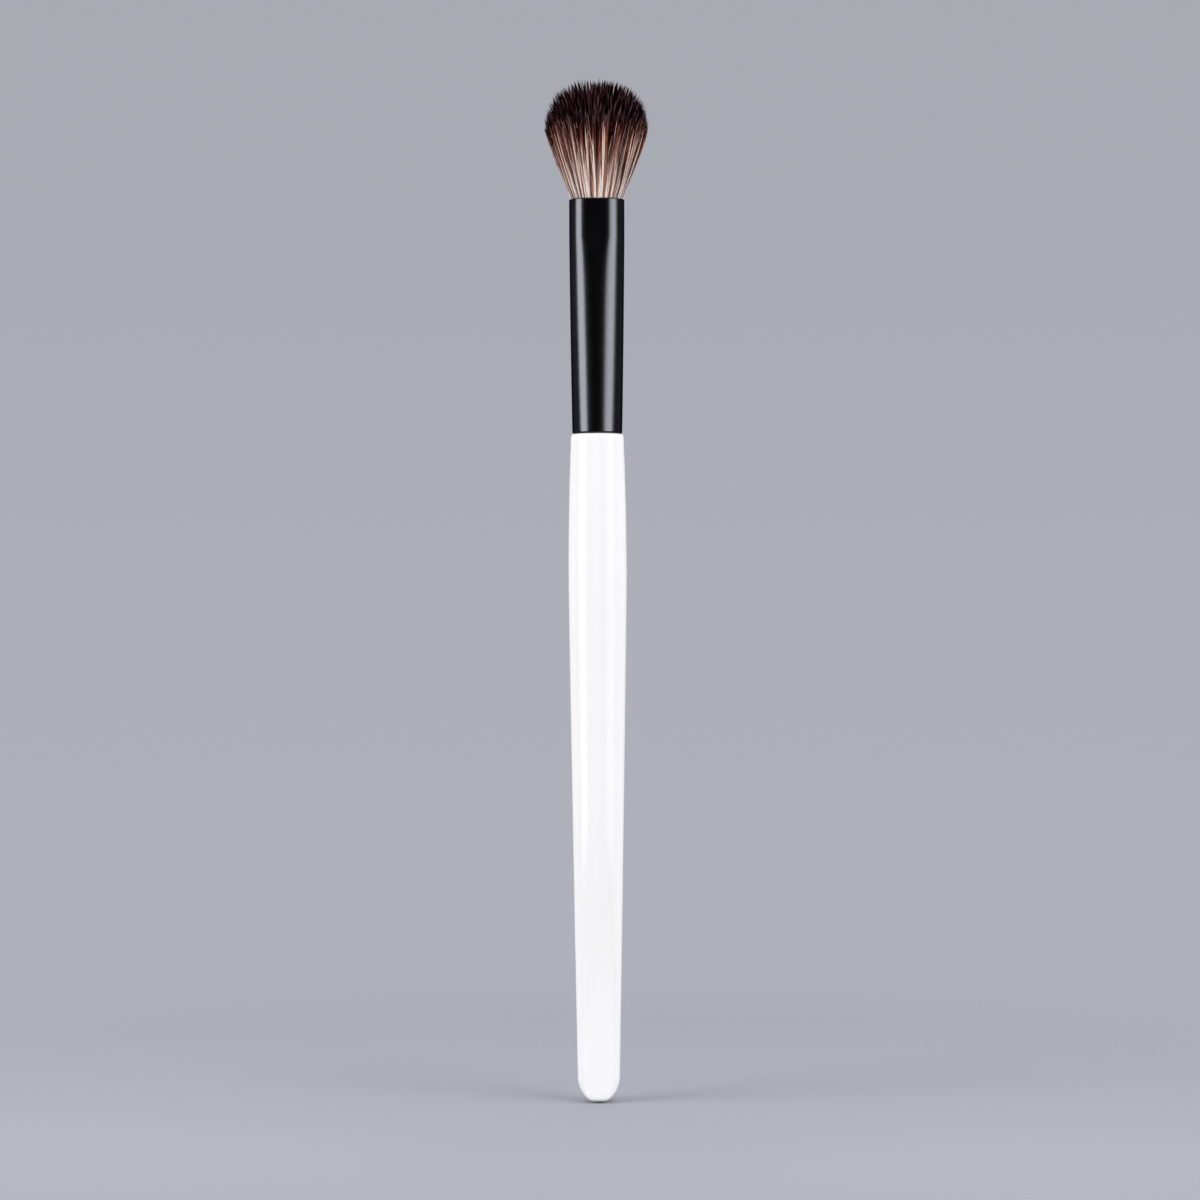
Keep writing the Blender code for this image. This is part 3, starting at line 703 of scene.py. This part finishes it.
def hair_paths():
    """Middle lines of all hairs, (hair, level, xyz), and each hair's colour strip.

    A hair stands upright in the root, leaves the mouth at its place in the bore and runs to its place on the
    dome: place = blend(bore, dome, s^0.9 - splay s^2 (1 - s)), where the splay fades as 1 - r^8 to the
    tuft's side. It drifts across with its lock, is drawn to the lock by a share that falls as (1 - s)^2 and
    to its clump by one that grows as s^2, and bends by s sin(180 s). It ends short of s = 1 by a length of
    its own, or a little past it.
    """
    random = np.random.default_rng(HAIR_SEED)
    homes = inside_disc(sunflower(HAIRS) + random.normal(0, HAIR_SCATTER, (HAIRS, 2)))
    locks = sunflower(LOCKS) + random.normal(0, LOCK_SCATTER, (LOCKS, 2))
    clumps = sunflower(CLUMPS) + random.normal(0, CLUMP_SCATTER, (CLUMPS, 2))
    lock, lock_rim = nearest_group(homes, locks)
    ends = inside_disc(homes + random.normal(0, LOCK_DRIFT, (LOCKS, 2))[lock])
    clump, clump_rim = nearest_group(ends, clumps)
    bore = ferrule_sizes(MOUTH_HEIGHT, FERRULE_WALL + ROOT_MARGIN)
    bend = random.normal(0, HAIR_BEND, (HAIRS, 2)) + random.normal(0, LOCK_BEND, (LOCKS, 2))[lock]
    splay = TIP_SPLAY * (1 - np.linalg.norm(ends, axis=-1, keepdims=True) ** SPLAY_POWER)
    shorter = CLUMP_POINT * clump_rim**1.5 + random.exponential(HAIR_SHORTER, HAIRS)
    shorter = shorter + random.uniform(*CLUMP_SHORTER, CLUMPS)[clump]
    length = 1 - shorter / (on_dome(ends)[1] - MOUTH_HEIGHT)
    levels = []
    for level in HAIR_LEVELS + (1.0,):
        share = (level * length)[:, None]
        places = blend(homes, locks[lock], LOCK_GATHER * (1 - share) ** 2)
        places = inside_disc(places + (ends - homes) * share**2)
        places = inside_disc(blend(places, clumps[clump], CLUMP_GATHER * share**2))
        top, height = on_dome(places)
        opening = share**OPENING_POWER - splay * share**2 * (1 - share)
        spot = blend(in_oval(places, *bore), top, opening) + bend * np.sin(math.pi * share) * share
        levels.append(np.column_stack((spot, blend(MOUTH_HEIGHT, height, share[:, 0]))))
    root = levels[0].copy()
    root[:, 2] = ROOT_TOP
    return np.stack([root] + levels, axis=1), hair_strips(lock, lock_rim, clump, random)


def hair_mesh(name, paths, strips):
    """Three-sided tapering tubes round the paths, each in its colour strip of the map.

    A ring's corners stand 120 degrees apart round the path, with one side turned out of the tuft.
    """
    count, levels = paths.shape[:2]
    outward = np.arctan2(paths[:, -2, 1] / TUFT_HALF_DEPTH, paths[:, -2, 0] / TUFT_HALF_WIDTH)
    turn = outward[:, None] + (np.arange(3) * 2 - 1) * math.pi / 3
    thickness = np.array(HAIR_THICKNESSES)[:, None, None] * HAIR_RADIUS
    ring = np.stack((np.cos(turn), np.sin(turn), np.zeros_like(turn)), axis=-1)
    mesh = closed_mesh(name, paths[:, :-1, None, :] + thickness * ring[:, None, :, :], paths[:, -1])
    points = np.zeros(len(mesh.vertices) * 3)
    mesh.vertices.foreach_get("co", points)
    lean = np.append(np.tile((-STRIP_LEAN, STRIP_LEAN, 0.0), levels - 1), (0.0, 0.0))
    across = (strips[:, None] + 0.5 + lean) / HAIR_STRIPS
    up = (points[2::3] - ROOT_TOP) / HAIR_MAP_HEIGHT
    corners = np.zeros(len(mesh.loops), int)
    mesh.loops.foreach_get("vertex_index", corners)
    chart = mesh.uv_layers.new(name="OFBake")
    chart.uv.foreach_set("vector", np.column_stack((across.ravel(), up))[corners].ravel())
    return mesh


def make_hair():
    """The hair, in three layers from the core outwards."""
    paths, strips = hair_paths()
    fixed = {"Specular IOR Level": 0.0, "Coat Roughness": 0.35, "Coat IOR": 1.9}
    material = finish("two_tone_hair", fixed, hair_colour)
    share = HAIRS // len(HAIR_LAYERS)
    for number, name in enumerate(HAIR_LAYERS):
        chosen = slice(number * share, (number + 1) * share)
        place(name, hair_mesh(name, paths[chosen], strips[chosen]), material, "hair", "hair_tuft")


def neck_sizes():
    """The root block's neck, which leaves room for the thread."""
    return ferrule_sizes(MOUTH_HEIGHT, FERRULE_WALL + 2 * FIT_GAP + THREAD_DIAMETER)


def make_root_block():
    """The glued root of the hair: a collar, the neck and the flare to its top."""
    collar = FERRULE_WALL + FIT_GAP
    neck = np.linspace(NECK_BASE, NECK_TOP, NECK_STEPS + 1)
    flare = np.linspace(0, 1, ROUND_STEPS + 1)[1:]
    low, top = neck_sizes(), ferrule_sizes(ROOT_TOP, collar)
    sizes = [blend(first, second, eased(flare)) for first, second in zip(low, top)]
    rings = (
        ferrule_rings(np.array([ROOT_BASE, ROOT_BASE + ROOT_COLLAR / 2, NECK_BASE]), collar),
        sections(*low, neck),
        sections(*sizes, blend(NECK_TOP, ROOT_TOP, flare)),
    )
    mesh = closed_mesh("glued_hair_root", np.concatenate(rings)[None])
    material = finish("resin_soaked_hair", {}, root_block_colour)
    place("glued_hair_root", mesh, material, "hair", "hair_tuft", crisp=40)


# Thread

PLIES = 2
TWISTS_A_TURN = 26
RINGS_A_TURN = 260
PLY_SIDES = 8
THREAD_START = math.pi / 24  # turn at which the thread starts


def make_thread():
    """Two plies wound about one helix.

    The helix runs round the neck's oval at the thread's pitch. A ply's middle turns about it at a quarter of
    the thread's diameter, and its skin lies another quarter out, along the oval's outward normal and down.
    """
    width, depth, flat = neck_sizes()
    off = FIT_GAP + THREAD_DIAMETER / 2
    half_oval = width + off - flat
    turn = np.linspace(0, math.tau * THREAD_TURNS, THREAD_TURNS * RINGS_A_TURN + 1) + THREAD_START
    x = flat * np.clip(np.cos(turn) / FLAT_LEAN, -1, 1) + half_oval * np.cos(turn)
    y = (depth + off) * np.sin(turn)
    z = NECK_BASE + off + THREAD_PITCH * np.linspace(0, THREAD_TURNS, len(turn))
    middle = np.stack((x, y, z), axis=-1)
    outward = np.stack((np.cos(turn) / half_oval, np.sin(turn) / (depth + off), 0 * turn), axis=-1)
    outward /= np.linalg.norm(outward, axis=-1, keepdims=True)
    upward = np.array([0.0, 0.0, 1.0])
    twist = (turn * TWISTS_A_TURN + np.arange(PLIES)[:, None] * math.tau / PLIES)[..., None]
    ply_radius = THREAD_DIAMETER / 4
    heart = middle + ply_radius * (np.cos(twist) * outward + np.sin(twist) * upward)
    around = (np.arange(PLY_SIDES) * math.tau / PLY_SIDES)[:, None]
    skin = np.cos(around) * outward[:, None, :] - np.sin(around) * upward
    mesh = closed_mesh("twisted_thread", heart[:, :, None, :] + ply_radius * skin)
    material = finish("waxed_cotton", {}, cotton)
    place("twisted_thread", mesh, material, "thread", "binding_thread")


def finish_glue():
    """The hidden glue keeps its solids and gets its resin."""
    resin = finish("amber_resin", {"Specular IOR Level": 0.5}, set_resin)
    for node in ("root_glue_plug", "tenon_glue_lower_ring", "tenon_glue_upper_ring"):
        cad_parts[node].data.materials.clear()
        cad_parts[node].data.materials.append(resin)


# Studio

BRUSH_COLUMN = 597.7  # pixel of the picture on which the brush's middle line stands
FOOT_ROW = 1101.5  # pixel down the picture of the foot
CAMERA_LENS = 100.0
CAMERA_ROLL = math.radians(0.14)  # the brush leans a little in the picture
SENSOR = 36.0
STRIP_MIDDLE = 0.125  # height of the upright lamps' middles
STRIP_HEIGHT = 0.25
AIM = Vector((0, 0, 0.08))  # of the high lamps
FLOOR_RADIUS = 3.0
FLOOR_CORNERS = 96
FLOOR_LIGHTER = (0.0, 0.08)  # behind the brush, over which the paper turns lighter
FLOOR_FADE = (0.05, 0.18)  # from the brush, over which it melts into the backdrop
BACK_SEEN = (-0.1, 0.9)  # share of the way back, over which reflections come to see the backdrop
GREY_RISE = (-0.1, 0.2)  # share of the way up, over which the backdrop darkens
ROOM_RISE = (0.2, 0.9)  # and over which the dim room gets lighter


def make_camera():
    """The photograph's view: level, square on, centred by the pixels of the brush."""
    data = bpy.data.cameras.new("camera")
    data.lens = CAMERA_LENS
    data.sensor_width = SENSOR
    data.clip_start = 0.01
    camera = bpy.data.objects.new("camera", data)
    away = PICTURE * PIXEL * CAMERA_LENS / SENSOR
    camera.location = ((PICTURE / 2 - BRUSH_COLUMN) * PIXEL, -away, (FOOT_ROW - PICTURE / 2) * PIXEL)
    camera.rotation_euler = (math.pi / 2, CAMERA_ROLL, 0)
    bpy.context.scene.collection.objects.link(camera)
    bpy.context.scene.camera = camera


def softbox(name, azimuth, middle_height, distance, width, height, radiance, level=True):
    """A soft lamp turned to the brush, by its azimuth from the camera; radiance 1 renders as white."""
    data = bpy.data.lights.new(name, "AREA")
    data.shape = "RECTANGLE"
    data.size = width
    data.size_y = height
    data.energy = radiance * math.pi * width * height
    lamp = bpy.data.objects.new(name, data)
    turn = math.radians(azimuth)
    lamp.location = (distance * math.sin(turn), -distance * math.cos(turn), middle_height)
    aim = Vector((0, 0, middle_height)) if level else AIM
    lamp.rotation_euler = (aim - lamp.location).to_track_quat("-Z", "Y").to_euler()
    lamp.visible_camera = False
    bpy.context.scene.collection.objects.link(lamp)


def make_lights():
    """Upright strips beside the camera, lamps high at both sides, one overhead and a weaker one behind.

    The right strip has a dimmer rim round it and a narrow spill beside it.
    """
    softbox("strip_left", -63.6, STRIP_MIDDLE, 0.3, 0.18, STRIP_HEIGHT, 6.1)
    softbox("strip_right", 56.0, STRIP_MIDDLE, 0.3, 0.15, STRIP_HEIGHT, 4.2)
    softbox("strip_right_rim", 54.0, STRIP_MIDDLE, 0.302, 0.28, STRIP_HEIGHT, 1.2)
    softbox("strip_right_spill", 37.0, STRIP_MIDDLE, 0.3, 0.06, STRIP_HEIGHT, 2.2)
    softbox("high_left", -100.0, 0.7, 0.5, 0.6, 0.6, 0.75, level=False)
    softbox("high_right", 100.0, 0.7, 0.5, 0.6, 0.6, 0.85, level=False)
    softbox("overhead", 0.0, 1.3, 0.35, 1.2, 1.0, 1.4, level=False)
    softbox("behind", 180.0, 1.1, 0.8, 1.2, 0.8, 1.2, level=False)


def floor_colour(recipe):
    """Grey paper, a little lighter behind the brush."""
    here = recipe.object_place()
    grain = recipe.noise(here, 1500.0, 3.0)
    behind = recipe.clamp(recipe.axis(here, 1), *FLOOR_LIGHTER)
    grey = recipe.mix(behind, linear(160, 162, 169), linear(165, 167, 174))
    return {"Base Color": recipe.mix(grain * 0.04, grey, linear(150, 152, 160)), "Roughness": 0.9}


def make_floor():
    """A wide round of grey paper whose far edge melts into the backdrop."""
    turn = np.linspace(0, math.tau, FLOOR_CORNERS + 1)[:-1]
    rim = np.stack((FLOOR_RADIUS * np.cos(turn), FLOOR_RADIUS * np.sin(turn), 0 * turn), axis=-1)
    mesh = bpy.data.meshes.new("floor")
    mesh.from_pydata(rim.tolist(), [], [list(range(len(rim)))])
    material = finish("grey_paper", {"Specular IOR Level": 0.1}, floor_colour)
    recipe = Recipe(material)
    here = recipe.object_place()
    reach = recipe.node("ShaderNodeVectorMath", {"operation": "LENGTH"}, {0: here}, output=1)
    shader = recipe.tree.nodes["Principled BSDF"]
    clear = recipe.node("ShaderNodeBsdfTransparent")
    inputs = {0: recipe.clamp(reach, *FLOOR_FADE), 1: Shade(recipe, shader.outputs[0]), 2: clear}
    mixed = recipe.node("ShaderNodeMixShader", None, inputs)
    recipe.join(recipe.tree.nodes["Material Output"].inputs[0], mixed)
    mesh.materials.append(material)
    floor = bpy.data.objects.new("floor", mesh)
    bpy.context.scene.collection.objects.link(floor)


def make_world():
    """The grey backdrop, which the camera sees all round and the brush only behind it, in a dim room."""
    world = bpy.data.worlds.new("studio")
    bpy.context.scene.world = world
    recipe = Recipe(world)
    way = recipe.node("ShaderNodeTexCoord")
    up = recipe.axis(way, 2)
    back = recipe.clamp(recipe.axis(way, 1), *BACK_SEEN)
    grey = recipe.mix(recipe.clamp(up, *GREY_RISE), linear(174, 177, 185), linear(168, 170, 178))
    dim = recipe.mix(recipe.clamp(up, *ROOM_RISE), (0.008, 0.008, 0.009), (0.25, 0.25, 0.255))
    camera_ray = recipe.node("ShaderNodeLightPath")
    seen = recipe.node("ShaderNodeMath", {"operation": "MAXIMUM"}, {0: camera_ray, 1: back})
    background = recipe.tree.nodes["Background"]
    recipe.join(background.inputs[0], recipe.mix(seen, dim, grey))


make_camera()
make_world()
make_lights()
make_floor()
make_handle()
make_ferrule()
make_hair()
make_root_block()
make_thread()
finish_glue()

bpy.context.scene.view_settings.view_transform = "Standard"
